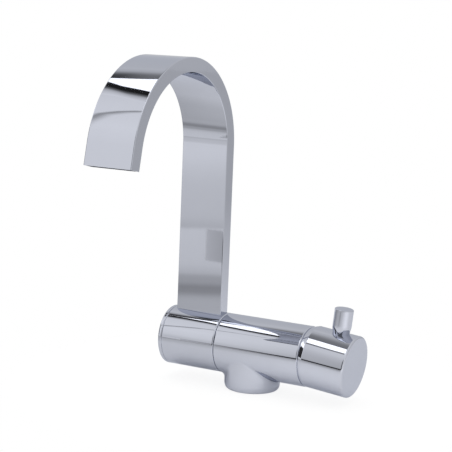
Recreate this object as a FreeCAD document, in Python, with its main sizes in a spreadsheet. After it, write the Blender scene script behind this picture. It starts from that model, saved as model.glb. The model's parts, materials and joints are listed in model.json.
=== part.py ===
"""Fold-down single-lever mixer tap with a flat, arched spout.

Lengths are millimetres and angles are degrees. +Z is up and the origin is the centre of the
base's underside. The body axis is horizontal, along X, with the handle at +X and the spout's
collar at -X. The spout's outlet points to -Y. On the body axis a station is the distance from
the base's centre, positive towards the handle. On the handle axis it is the distance from the
tilting centre.
"""
import FreeCAD, Part
import math
import os
import re
import Sketcher

os.makedirs("parts", exist_ok=True)
doc = FreeCAD.newDocument("FoldDownMixer")
Vector = FreeCAD.Vector

SIZES = {
    # body casting
    "body_radius": 20.0,
    "axis_height": 27.7,
    "spout_seam": 20.2,
    "handle_seam": 41.8,
    "edge_round": 0.9,
    "base_inset": 1.3,
    "base_fillet": 3.0,
    "base_edge_round": 1.8,
    "seam_gap": 0.15,
    "running_clearance": 0.05,
    "fit_clearance": 0.1,
    # ports and fixings under the base
    "port_radius": 3.5,
    "port_depth": 10.0,
    "port_offset": 6.0,
    "channel_radius": 2.2,
    "riser_radius": 2.6,
    "mixed_channel_radius": 3.0,
    "mixed_rise": 3.0,
    "inlet_drop": 3.6,
    "stud_hole_radius": 3.4,
    "stud_hole_depth": 11.0,
    "stud_hole_offset": 10.0,
    "gasket_outer": 16.4,
    "gasket_inner": 14.4,
    "gasket_depth": 2.0,
    # spout collar and its end cap
    "collar_length": 39.8,
    "collar_wall": 6.0,
    "cap_bore_step": 1.5,
    "cap_thickness": 3.0,
    "cap_edge_round": 1.2,
    "cap_rim_round": 0.2,
    "cap_spigot_length": 3.2,
    "cap_spigot_wall": 2.6,
    "cap_seal_radius": 0.55,
    "band_seat_depth": 2.5,
    "collar_port_radius": 3.2,
    # bent flat spout
    "band_width": 34.0,
    "band_thickness": 9.5,
    "band_wall": 1.4,
    "band_edge_round": 0.5,
    "band_inset": 3.4,
    "riser_height": 130.6,
    "bend_radius": 56.25,
    "outlet_bend_radius": 58.05,
    "outlet_slant": 12.0,
    "outlet_leg": 15.9,
    # flow straightener in the outlet
    "insert_recess": 1.2,
    "insert_depth": 8.0,
    "insert_frame": 0.9,
    "cell_gap": 0.7,
    "cell_columns": 9,
    # spout hub, on which the collar turns
    "hub_spigot_radius": 10.0,
    "hub_spigot_length": 12.0,
    "hub_length": 34.0,
    "hub_bore": 6.0,
    "hub_web": 9.0,
    "gallery_depth": 2.95,
    "gallery_width": 7.2,
    "hub_port_radius": 2.4,
    "seal_radius": 1.1,
    "seal_offset": 7.6,
    "thrust_gap": 0.3,
    "thrust_width": 1.3,
    "thrust_depth": 1.0,
    "stop_pin_radius": 1.1,
    "stop_pin_gap": 1.7,
    "stop_pin_angle": 135.0,
    "stop_pin_depth": 3.0,
    "stop_pin_reach": 1.9,
    "fold_angle": 90.0,
    "retainer_clearance": 0.3,
    "retainer_thickness": 1.5,
    "screw_radius": 3.0,
    "screw_head_radius": 5.0,
    "screw_head_height": 3.4,
    "screw_length": 7.5,
    "screw_socket": 4.0,
    # cartridge
    "chamber_floor": 14.0,
    "chamber_radius": 13.3,
    "cartridge_base_thickness": 4.0,
    "port_seal_wall": 0.7,
    "port_seal_height": 1.0,
    "ceramic_radius": 10.8,
    "ceramic_thickness": 3.0,
    "moving_disc_radius": 8.2,
    "cavity_radius": 5.9,
    "cavity_rise": 1.0,
    "carrier_thickness": 5.0,
    "housing_wall": 2.2,
    "shoulder_station": 29.4,
    "shoulder_step": 0.8,
    "rotor_flange_thickness": 2.2,
    "rotor_radius": 8.5,
    "rotor_end": 54.3,
    "rotor_slot_width": 5.8,
    "rotor_slot_height": 10.6,
    "housing_end": 36.3,
    "nut_radius": 14.2,
    "nut_notch": 3.0,
    "nut_notch_depth": 2.0,
    "socket_floor": 36.7,
    # handle
    "pivot_station": 49.8,
    "handle_rest_tilt": 5.3,
    "ball_swell": 0.67,
    "ball_wall": 1.5,
    "ball_clearance": 0.3,
    "skirt_depth": 10.6,
    "handle_overhang": 0.33,
    "handle_wall": 3.83,
    "handle_end": 23.9,
    "handle_end_thickness": 3.5,
    "handle_edge_round": 0.7,
    "bore_start": 3.0,
    "boss_radius": 6.5,
    "boss_start": 6.6,
    "boss_socket_depth": 8.0,
    # valve stem
    "stem_ball_radius": 2.4,
    "stem_ball_station": 22.3,
    "stem_radius": 1.9,
    "stem_square": 7.0,
    "stem_square_start": 5.6,
    "stem_flat": 5.4,
    "pivot_pin_radius": 1.25,
    "pivot_pin_inset": 0.8,
    "stem_head_gap": 0.3,
    "grub_screw_radius": 2.0,
    "grub_screw_length": 4.0,
    "grub_screw_hole": 2.6,
    "grub_screw_socket": 2.0,
    # lever pin
    "pin_offset": 11.1,
    "pin_height": 15.7,
    "pin_radius": 6.2,
    "pin_shoulder_height": 3.6,
    "pin_foot_radius": 5.2,
    "pin_foot_depth": 1.0,
    "pin_blend": 15.0,
    "pin_top_round": 0.5,
    "pin_thread_radius": 2.5,
}

# sizes that follow from the ones above
DERIVED = {
    "body_face": "-spout_seam",
    "collar_face": "-spout_seam - seam_gap",
    "collar_end": "collar_face - collar_length",
    "cap_face": "collar_end - cap_thickness",
    "base_radius": "body_radius - base_inset",
    "collar_bore": "body_radius - collar_wall",
    "cap_bore": "collar_bore + cap_bore_step",
    "retainer_radius": "cap_bore - retainer_clearance",
    "thrust_inner": "collar_bore + thrust_gap",
    "thrust_outer": "thrust_inner + thrust_width",
    "stop_pin_circle": "thrust_outer + stop_pin_gap",
    "handle_radius": "body_radius + handle_overhang",
    "handle_bore": "handle_radius - handle_wall",
    "ball_radius": "handle_radius + ball_swell",
    "pin_top": "handle_radius + pin_height",
    "pin_shoulder": "handle_radius + pin_shoulder_height",
}

sheet = doc.addObject("Spreadsheet::Sheet", "Dim")
cells = [(alias, str(number)) for alias, number in SIZES.items()]
cells += [(alias, "=" + text) for alias, text in DERIVED.items()]
for row, (alias, content) in enumerate(cells, start=1):
    sheet.set(f"A{row}", alias)
    sheet.set(f"B{row}", content)
    sheet.setAlias(f"B{row}", alias)
    doc.recompute()
ALIASES = {alias for alias, content in cells}

NODES = {}
UPRIGHT = FreeCAD.Rotation()
ALONG_X = FreeCAD.Rotation(Vector(0, 1, 0), 90)
ALONG_Y = FreeCAD.Rotation(Vector(1, 0, 0), -90)


def formula(text):
    """An expression in which each name of a size refers to its cell."""
    return re.sub(r"[a-z_]+", lambda word: "Dim." * (word.group() in ALIASES) + word.group(), text)


def size(alias):
    """The value of a size, in millimetres or degrees."""
    return float(sheet.get(alias))


def bind(item, **sizes):
    """Bind properties to formulas. Two underscores in a name stand for a dot."""
    for name, text in sizes.items():
        item.setExpression(name.replace("__", "."), formula(text))
    return item


def place(item, turn=UPRIGHT, x="0", y="0", z="0"):
    """Turn an item and bind its position."""
    item.Placement = FreeCAD.Placement(Vector(), turn)
    return bind(item, Placement__Base__x=x, Placement__Base__y=y, Placement__Base__z=z)


def turn_by(item, axis, angle):
    """Turn an item about an axis by a bound angle."""
    item.Placement = FreeCAD.Placement(item.Placement.Base, FreeCAD.Rotation(axis, 1))
    return bind(item, Placement__Rotation__Angle=angle)


def on_body_axis(item):
    """Put an item made along Z on the body axis, with its heights as stations."""
    return place(item, ALONG_X, z="axis_height")


def on_handle_axis(item):
    """Put an item made along Z on the tilted handle axis, with its heights as stations."""
    place(item, x="pivot_station", z="axis_height")
    return turn_by(item, Vector(0, 1, 0), "90 + handle_rest_tilt")


def node(name, item):
    """Name a finished sub-part and list it for export."""
    item.Label = name
    NODES[name] = item
    return item


def base_plane(body, role):
    """One of a body's own origin planes."""
    return next(plane for plane in body.Origin.OriginFeatures if plane.Role == role)


def new_sketch(body, role, height="0"):
    """A sketch on an origin plane of the body, raised by a height."""
    sketch = body.newObject("Sketcher::SketchObject", "Sketch")
    sketch.AttachmentSupport = [(base_plane(body, role), "")]
    sketch.MapMode = "FlatFace"
    return bind(sketch, AttachmentOffset__Base__z=height)


def fix_point(sketch, edge, end, across, up):
    """Bind both coordinates of a point of a sketch."""
    point = sketch.getPoint(edge, end)
    for kind, start, text in (("DistanceX", point.x, across), ("DistanceY", point.y, up)):
        index = sketch.addConstraint(Sketcher.Constraint(kind, -1, 1, edge, end, start))
        sketch.setExpression(f"Constraints[{index}]", formula(text))


def draw_outline(sketch, corners):
    """A closed outline through corners whose coordinates are formulas."""
    count = len(corners)
    turn = 2 * math.pi / count
    start = [Vector(30 + 9 * math.cos(turn * i), 9 * math.sin(turn * i), 0) for i in range(count)]
    for i in range(count):
        sketch.addGeometry(Part.LineSegment(start[i], start[(i + 1) % count]), False)
    for i, (across, up) in enumerate(corners):
        sketch.addConstraint(Sketcher.Constraint("Coincident", i - 1 if i else count - 1, 2, i, 1))
        fix_point(sketch, i, 1, across, up)


def draw_rounded_rectangle(sketch, width, depth, corner):
    """A rectangle about the sketch's origin, with rounded corners."""
    for i, (side, face) in enumerate(((1, 1), (-1, 1), (-1, -1), (1, -1))):
        circle = Part.Circle(Vector(side * 10, face * 3, 0), Vector(0, 0, 1), 1)
        sketch.addGeometry(Part.ArcOfCircle(circle, i * math.pi / 2, (i + 1) * math.pi / 2), False)
        across, up = (f"(({extent}) / 2 - ({corner}))" for extent in (width, depth))
        fix_point(sketch, i, 3, f"{side} * {across}", f"{face} * {up}")
        index = sketch.addConstraint(Sketcher.Constraint("Radius", i, 1.0))
        sketch.setExpression(f"Constraints[{index}]", formula(corner))
        flat, square = (1, 2) if i % 2 == 0 else (2, 1)
        sketch.addConstraint(Sketcher.Constraint("Horizontal", i, flat, i, 3))
        sketch.addConstraint(Sketcher.Constraint("Vertical", i, square, i, 3))
    for i in range(4):
        following = (i + 1) % 4
        line = sketch.addGeometry(Part.LineSegment(Vector(i, 9, 0), Vector(9, i, 0)), False)
        sketch.addConstraint(Sketcher.Constraint("Coincident", line, 1, i, 2))
        sketch.addConstraint(Sketcher.Constraint("Coincident", line, 2, following, 1))


def new_body(name):
    """An empty body."""
    return doc.addObject("PartDesign::Body", name)


def turned(name, corners):
    """A body turned about its own Z axis. Corners are (radius, height) formulas."""
    body = new_body(name)
    sketch = new_sketch(body, "XZ_Plane")
    draw_outline(sketch, corners)
    solid = body.newObject("PartDesign::Revolution", "Turn")
    solid.Profile = sketch
    solid.ReferenceAxis = (sketch, ["V_Axis"])
    solid.Angle = 360
    body.Tip = solid
    doc.recompute()
    return body


def tube(name, outer, inner, start, end):
    """A turned ring between two heights."""
    return turned(name, [(inner, start), (outer, start), (outer, end), (inner, end)])


def rims(body, radius, height):
    """The circular edges of a body with this radius and height."""
    found = []
    for index, edge in enumerate(body.Tip.Shape.Edges, start=1):
        curve = edge.Curve
        if curve.TypeId != "Part::GeomCircle":
            continue
        if abs(curve.Radius - radius) < 1e-4 and abs(curve.Center.z - height) < 1e-4:
            found.append(f"Edge{index}")
    return found


def round_rims(body, rounding, *places):
    """Round the rims of a turned body that lie at places named by two sizes, (radius, height)."""
    edges = []
    for radius, height in places:
        edges += rims(body, size(radius), size(height) if height else 0)
    base = body.Tip
    blend = body.newObject("PartDesign::Fillet", "Round")
    blend.Base = (base, edges)
    bind(blend, Radius=rounding)
    body.Tip = blend
    doc.recompute()
    return body


def rod(name, radius, length, turn=UPRIGHT, x="0", y="0", z="0"):
    """A cylinder from a point along Z, or along the turned Z."""
    item = bind(doc.addObject("Part::Cylinder", name), Radius=radius, Height=length)
    return place(item, turn, x, y, z)


def block(name, length, width, height, x="0", y="0", z="0"):
    """A box centred on x and y, standing on z."""
    item = bind(doc.addObject("Part::Box", name), Length=length, Width=width, Height=height)
    return place(item, UPRIGHT, f"({x}) - ({length}) / 2", f"({y}) - ({width}) / 2", z)


def ball(name, radius, low, high, z="0"):
    """The zone of a sphere between two heights above its centre."""
    item = bind(doc.addObject("Part::Sphere", name), Radius=radius)
    bind(item, Angle1=f"asin(({low}) / ({radius}))", Angle2=f"asin(({high}) / ({radius}))")
    return place(item, UPRIGHT, z=z)


def ring(name, centre_radius, section_radius, z="0"):
    """A seal ring of round section about Z."""
    item = bind(doc.addObject("Part::Torus", name), Radius1=centre_radius, Radius2=section_radius)
    return place(item, UPRIGHT, z=z)


def joined(name, *items):
    """Several solids as one."""
    item = doc.addObject("Part::MultiFuse", name)
    item.Shapes = list(items)
    item.Refine = True
    doc.recompute()
    return item


def grouped(name, *items):
    """Several separate solids in one object."""
    item = doc.addObject("Part::Compound", name)
    item.Links = list(items)
    return item


def cut(name, base, *tools):
    """A solid less one or more tools."""
    item = doc.addObject("Part::Cut", name)
    item.Base = base
    item.Tool = tools[0] if len(tools) == 1 else joined(name + "_tools", *tools)
    item.Refine = True
    doc.recompute()
    return item


# Formulas that several pieces share. Stations are on the body axis unless they say otherwise.
INLET_HEIGHT = "(axis_height - inlet_drop)"
BAND_CENTRE = "(-spout_seam - band_inset - band_width / 2)"
HUB_END = "(-spout_seam - hub_length)"
JOURNAL = "(collar_bore - running_clearance)"
BAND_FOOT = "(body_radius - band_seat_depth)"
CARTRIDGE_BASE_END = "(chamber_floor + fit_clearance + cartridge_base_thickness)"
FIXED_DISC_END = "(chamber_floor + fit_clearance + cartridge_base_thickness + ceramic_thickness)"
MOVING_DISC_START = f"({FIXED_DISC_END} + running_clearance / 2)"
CARRIER_START = f"({MOVING_DISC_START} + ceramic_thickness)"
CARRIER_END = f"({CARRIER_START} + carrier_thickness)"
ROTOR_START = f"({CARRIER_END} + fit_clearance)"
ROTOR_FLANGE_END = f"({ROTOR_START} + rotor_flange_thickness)"
HOUSING_RADIUS = "(chamber_radius - fit_clearance)"
HOUSING_BORE = "(chamber_radius - fit_clearance - housing_wall)"
DISC_SHIFT = "stem_ball_station * sin(handle_rest_tilt)"
SOCKET_RADIUS = "(ball_radius + ball_clearance)"
THREAD_END = "(handle_bore + fit_clearance)"
SKIRT_BORE = "(ball_radius - ball_wall)"
RIM_STATION = "(-sqrt(ball_radius ^ 2 - handle_radius ^ 2))"
BAND_INNER_WIDTH = "band_width - 2 * band_wall"
BAND_INNER_THICKNESS = "band_thickness - 2 * band_wall"


def body_casting():
    """The brass body: a barrel on a round stub, with its chambers and water channels."""
    barrel = turned("barrel", [
        ("0", "-spout_seam"), ("body_radius", "-spout_seam"),
        ("body_radius", "handle_seam"), ("0", "handle_seam"),
    ])
    round_rims(barrel, "edge_round", ("body_radius", "body_face"), ("body_radius", "handle_seam"))
    on_body_axis(barrel)
    stub = turned("stub", [
        ("0", "0"), ("base_radius", "0"), ("base_radius", "axis_height"), ("0", "axis_height"),
    ])
    round_rims(stub, "base_edge_round", ("base_radius", None))
    outside = joined("outside", barrel, stub)
    saddle = [
        (index, size("base_fillet"), size("base_fillet"))
        for index, edge in enumerate(outside.Shape.Edges, start=1)
        if edge.Curve.TypeId == "Part::GeomBSplineCurve"
    ]
    blended = doc.addObject("Part::Fillet", "blended")
    blended.Base = outside
    blended.Edges = saddle
    doc.recompute()

    nut_bore, chamber_mouth = "nut_radius + running_clearance", "socket_floor + 1"
    chamber = on_body_axis(turned("chamber", [
        ("0", "chamber_floor"), ("chamber_radius", "chamber_floor"), ("chamber_radius", "shoulder_station"),
        (nut_bore, "shoulder_station"), (nut_bore, chamber_mouth), ("0", chamber_mouth),
    ]))
    socket = ball("socket", SOCKET_RADIUS, "socket_floor - pivot_station", SOCKET_RADIUS)
    place(socket, ALONG_X, x="pivot_station", z="axis_height")
    spigot_bore = rod("spigot_bore", "hub_spigot_radius + running_clearance / 2", "hub_spigot_length",
                      ALONG_X, "-spout_seam", z="axis_height")
    mixed = rod("mixed_channel", "mixed_channel_radius", "spout_seam + chamber_floor", ALONG_X,
                "-spout_seam", z="axis_height + mixed_rise")
    thrust_recess = tube("thrust_recess", "thrust_outer + fit_clearance", "thrust_inner - fit_clearance",
                         "-spout_seam", "-spout_seam + thrust_depth")
    on_body_axis(thrust_recess)
    gasket_groove = tube("gasket_groove", "gasket_outer", "gasket_inner", "0", "gasket_depth")
    stud_hole = rod("stud_hole", "stud_hole_radius", "stud_hole_depth", x="-stud_hole_offset")
    pin_hole = stop_pin_solid("pin_hole")
    tools = [chamber, socket, spigot_bore, mixed, thrust_recess, gasket_groove, stud_hole, pin_hole]
    for name, side in (("hot", "port_offset"), ("cold", "-port_offset")):
        tools.append(rod(name + "_port", "port_radius", "port_depth", y=side))
        tools.append(rod(name + "_riser", "riser_radius", f"{INLET_HEIGHT} + riser_radius", y=side))
        tools.append(rod(name + "_channel", "channel_radius", "chamber_floor", ALONG_X,
                         y=side, z=INLET_HEIGHT))
    node("body_casting", cut("casting", blended, *tools))


def base_gasket():
    """The flat ring that seals the base to the worktop."""
    node("base_gasket", tube("gasket", "gasket_outer - running_clearance",
                             "gasket_inner + running_clearance", "0", "gasket_depth"))


def stop_pin_solid(name):
    """The pin that limits the spout's fold, in the body's left face."""
    return rod(name, "stop_pin_radius", "stop_pin_depth + stop_pin_reach", ALONG_X,
               "-spout_seam - stop_pin_reach", "stop_pin_circle * sin(stop_pin_angle)",
               "axis_height - stop_pin_circle * cos(stop_pin_angle)")


def spout_hub():
    """The journal that is screwed into the body and carries the collar and the water."""
    groove_floor = f"({JOURNAL} - 2 * seal_radius)"
    spigot_end = "-spout_seam + hub_spigot_length"
    outline = [("hub_bore", spigot_end), ("hub_spigot_radius", spigot_end),
               ("hub_spigot_radius", "-spout_seam"), (JOURNAL, "-spout_seam")]
    for centre, floor, half in ((f"{BAND_CENTRE} + seal_offset", groove_floor, "1.2 * seal_radius"),
                                (BAND_CENTRE, f"({JOURNAL} - gallery_depth)", "gallery_width / 2"),
                                (f"{BAND_CENTRE} - seal_offset", groove_floor, "1.2 * seal_radius")):
        outline += [(JOURNAL, f"{centre} + {half}"), (floor, f"{centre} + {half}"),
                    (floor, f"{centre} - {half}"), (JOURNAL, f"{centre} - {half}")]
    outline += [(JOURNAL, HUB_END), ("screw_radius", HUB_END), ("screw_radius", f"{HUB_END} + hub_web"),
                ("hub_bore", f"{HUB_END} + hub_web")]
    journal = on_body_axis(turned("journal", outline))
    across = rod("hub_port_across", "hub_port_radius", f"2 * {JOURNAL}", ALONG_Y, BAND_CENTRE,
                 f"-{JOURNAL}", "axis_height")
    upright = rod("hub_port_upright", "hub_port_radius", f"2 * {JOURNAL}", UPRIGHT, BAND_CENTRE,
                  "0", f"axis_height - {JOURNAL}")
    node("spout_hub", cut("hub", journal, across, upright))


def hub_seals():
    """The two rings that seal the water gallery between the hub and the collar."""
    for name, side in (("hub_seal_inner", "+"), ("hub_seal_outer", "-")):
        seal = ring(name, f"{JOURNAL} - seal_radius", "seal_radius")
        node(name, place(seal, ALONG_X, x=f"{BAND_CENTRE} {side} seal_offset", z="axis_height"))


def thrust_washer():
    """The slide ring that keeps the collar off the body's face."""
    washer = tube("washer", "thrust_outer", "thrust_inner", "collar_face + running_clearance / 2",
                  "-spout_seam + thrust_depth")
    node("thrust_washer", on_body_axis(washer))


def retainers():
    """The washer and the screw that hold the collar on the hub."""
    washer = tube("retainer", "retainer_radius", "screw_radius + fit_clearance",
                  f"{HUB_END} - retainer_thickness", HUB_END)
    node("retaining_washer", on_body_axis(washer))
    seat = f"({HUB_END} - retainer_thickness)"
    shank = "screw_radius - running_clearance"
    blank = on_body_axis(turned("screw_blank", [
        ("0", f"{seat} - screw_head_height"), ("screw_head_radius", f"{seat} - screw_head_height"),
        ("screw_head_radius", seat), (shank, seat),
        (shank, f"{seat} + screw_length"), ("0", f"{seat} + screw_length"),
    ]))
    key = hexagon("screw_key", "screw_socket / 2", "screw_head_height / 2")
    place(key, ALONG_X, x=f"{seat} - screw_head_height", z="axis_height")
    node("retaining_screw", cut("screw", blank, key))


def hexagon(name, half_width, height):
    """A hexagonal key along Z. The half width is from the centre to a flat."""
    key = bind(doc.addObject("Part::Prism", name), Circumradius=f"({half_width}) / cos(30)", Height=height)
    key.Polygon = 6
    return key


def spout_collar():
    """The turned sleeve that carries the spout and swings round the hub."""
    counterbore = f"({HUB_END} + running_clearance)"
    sleeve = turned("sleeve", [
        ("collar_bore", "collar_face"), ("body_radius", "collar_face"), ("body_radius", "collar_end"),
        ("cap_bore", "collar_end"), ("cap_bore", counterbore), ("collar_bore", counterbore),
    ])
    round_rims(sleeve, "edge_round", ("body_radius", "collar_face"))
    on_body_axis(round_rims(sleeve, "cap_rim_round", ("body_radius", "collar_end")))
    seat_body = new_body("band_seat")
    draw_rounded_rectangle(new_sketch(seat_body, "XY_Plane", BAND_FOOT), "band_width", "band_thickness",
                           "band_edge_round")
    seat = seat_body.newObject("PartDesign::Pad", "Pad")
    seat.Profile = seat_body.Group[0]
    bind(seat, Length="2 * band_seat_depth")
    seat_body.Tip = seat
    place(seat_body, x=BAND_CENTRE, z="axis_height")
    port = rod("collar_port", "collar_port_radius", "body_radius", x=BAND_CENTRE, z="axis_height")
    node("spout_collar", cut("collar", sleeve, seat_body, port, stop_slot()))


def stop_slot():
    """The curved slot in the collar's face, as long as the fold, in which the stop pin runs."""
    slack = "asin((stop_pin_radius + fit_clearance) / stop_pin_circle)"
    depth = "(stop_pin_reach + fit_clearance + seam_gap)"
    sectors = []
    for name, side in (("slot_outer", "+"), ("slot_inner", "-")):
        sector = rod(name, f"stop_pin_circle {side} (stop_pin_radius + fit_clearance)", depth)
        bind(sector, Angle=f"fold_angle * 1 deg + 2 * {slack}")
        turn_by(sector, Vector(0, 0, 1), f"(stop_pin_angle - fold_angle) * 1 deg - {slack}")
        sectors.append(sector)
    return place(cut("stop_slot", *sectors), ALONG_X, f"-spout_seam - {depth}", z="axis_height")


def spout_path(body):
    """The spout's centre line: riser, two bends that meet at the top, and the slanting outlet leg."""
    sketch = new_sketch(body, "YZ_Plane")
    foot, rise = SIZES["body_radius"] - SIZES["band_seat_depth"], SIZES["riser_height"]
    first, second = SIZES["bend_radius"], SIZES["outlet_bend_radius"]
    slant = math.radians(SIZES["outlet_slant"])
    normal = Vector(0, 0, 1)
    riser = Part.LineSegment(Vector(0, foot, 0), Vector(0, rise, 0))
    bend = Part.ArcOfCircle(Part.Circle(Vector(-first, rise, 0), normal, first), 0, math.pi / 2)
    centre = Vector(-first, rise + first - second, 0)
    last = math.pi - slant
    outlet_bend = Part.ArcOfCircle(Part.Circle(centre, normal, second), math.pi / 2, last)
    end = centre + Vector(math.cos(last), math.sin(last), 0) * second
    tip = end - Vector(math.sin(slant), math.cos(slant), 0) * SIZES["outlet_leg"]
    for edge in (riser, bend, outlet_bend, Part.LineSegment(end, tip)):
        sketch.addGeometry(edge, False)
    fix_point(sketch, 0, 1, "0", BAND_FOOT)
    fix_point(sketch, 0, 2, "0", "riser_height")
    fix_point(sketch, 1, 3, "-bend_radius", "riser_height")
    fix_point(sketch, 2, 3, "-bend_radius", "riser_height + bend_radius - outlet_bend_radius")
    sketch.addConstraint(Sketcher.Constraint("Coincident", 0, 2, 1, 1))
    sketch.addConstraint(Sketcher.Constraint("Coincident", 1, 2, 2, 1))
    sketch.addConstraint(Sketcher.Constraint("Vertical", 1, 2, 1, 3))
    sketch.addConstraint(Sketcher.Constraint("Tangent", 2, 2, 3, 1))
    index = sketch.addConstraint(Sketcher.Constraint("Distance", 3, SIZES["outlet_leg"]))
    sketch.setExpression(f"Constraints[{index}]", formula("outlet_leg"))
    drop = SIZES["outlet_leg"] * math.sin(slant)
    index = sketch.addConstraint(Sketcher.Constraint("DistanceX", 3, 2, 3, 1, drop))
    sketch.setExpression(f"Constraints[{index}]", formula("outlet_leg * sin(outlet_slant)"))
    return sketch


def spout_band():
    """The hollow flat band, bent from one rectangular tube."""
    body = new_body("band")
    path = spout_path(body)
    outer = new_sketch(body, "XY_Plane", BAND_FOOT)
    draw_rounded_rectangle(outer, "band_width", "band_thickness", "band_edge_round")
    inner = new_sketch(body, "XY_Plane", BAND_FOOT)
    draw_rounded_rectangle(inner, BAND_INNER_WIDTH, BAND_INNER_THICKNESS, "band_edge_round")
    doc.recompute()
    for kind, section in (("Additive", outer), ("Subtractive", inner)):
        sweep = body.newObject(f"PartDesign::{kind}Pipe", kind)
        sweep.Profile = section
        sweep.Spine = (path, ["Edge1", "Edge2", "Edge3", "Edge4"])
        body.Tip = sweep
        doc.recompute()
    place(body, x=BAND_CENTRE, z="axis_height")
    node("spout_band", body)


def end_cap():
    """The thin cap over the collar's open end, and its ring."""
    spigot = "(cap_bore - fit_clearance)"
    spigot_end = "(collar_end + cap_spigot_length)"
    groove = "(collar_end + cap_spigot_length / 2)"
    groove_floor = f"{spigot} - 2 * cap_seal_radius"
    groove_start, groove_end = (f"{groove} {side} cap_seal_radius" for side in "-+")
    hollow = "cap_bore - cap_spigot_wall"
    cap = turned("cap", [
        ("0", "cap_face"), ("body_radius", "cap_face"), ("body_radius", "collar_end"),
        (spigot, "collar_end"), (spigot, groove_start), (groove_floor, groove_start),
        (groove_floor, groove_end), (spigot, groove_end), (spigot, spigot_end),
        (hollow, spigot_end), (hollow, "collar_end"), ("0", "collar_end"),
    ])
    round_rims(cap, "cap_rim_round", ("body_radius", "collar_end"))
    round_rims(cap, "cap_edge_round", ("body_radius", "cap_face"))
    node("end_cap", on_body_axis(cap))
    seal = ring("cap_ring", f"{spigot} - cap_seal_radius", "cap_seal_radius")
    node("cap_seal", place(seal, ALONG_X, x=groove, z="axis_height"))


def flow_straightener():
    """The honeycomb insert in the outlet, which turns the flow into an even sheet."""
    width = f"({BAND_INNER_WIDTH} - 2 * running_clearance)"
    thickness = f"({BAND_INNER_THICKNESS} - 2 * running_clearance)"
    body = new_body("insert")
    draw_rounded_rectangle(new_sketch(body, "XY_Plane"), width, thickness, "band_edge_round")
    slab = body.newObject("PartDesign::Pad", "Pad")
    slab.Profile = body.Group[0]
    bind(slab, Length="insert_depth")
    body.Tip = slab
    doc.recompute()
    pitch = f"(({width} - 2 * insert_frame + cell_gap) / cell_columns)"
    cell = f"({pitch} - cell_gap)"
    row = f"(({thickness} - 2 * insert_frame - cell_gap) / 2)"
    left = f"(-{width} / 2 + insert_frame)"
    sketch = new_sketch(body, "XY_Plane")
    draw_outline(sketch, [(left, "cell_gap / 2"), (f"{left} + {cell}", "cell_gap / 2"),
                          (f"{left} + {cell}", f"cell_gap / 2 + {row}"), (left, f"cell_gap / 2 + {row}")])
    pocket = body.newObject("PartDesign::Pocket", "Cell")
    pocket.Profile = sketch
    pocket.Type = "ThroughAll"
    pocket.Reversed = True
    body.Tip = pocket
    columns = body.newObject("PartDesign::LinearPattern", "Columns")
    columns.Originals = [pocket]
    columns.Direction = (sketch, ["H_Axis"])
    bind(columns, Length=f"{pitch} * (cell_columns - 1)", Occurrences="cell_columns")
    body.Tip = columns
    doc.recompute()
    half = place(body)
    mirrored = doc.addObject("Part::Mirroring", "insert_mirrored")
    mirrored.Source = half
    mirrored.Normal = Vector(0, 1, 0)
    doc.recompute()
    both = doc.addObject("Part::Common", "insert_cells")
    both.Base = half
    both.Tool = mirrored
    doc.recompute()
    run = "(outlet_leg - insert_recess)"
    forward = f"-bend_radius - outlet_bend_radius * cos(outlet_slant) - {run} * sin(outlet_slant)"
    bend_centre = "axis_height + riser_height + bend_radius - outlet_bend_radius"
    height = f"{bend_centre} + outlet_bend_radius * sin(outlet_slant) - {run} * cos(outlet_slant)"
    place(both, UPRIGHT, BAND_CENTRE, forward, height)
    node("flow_straightener", turn_by(both, Vector(-1, 0, 0), "outlet_slant"))


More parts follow.
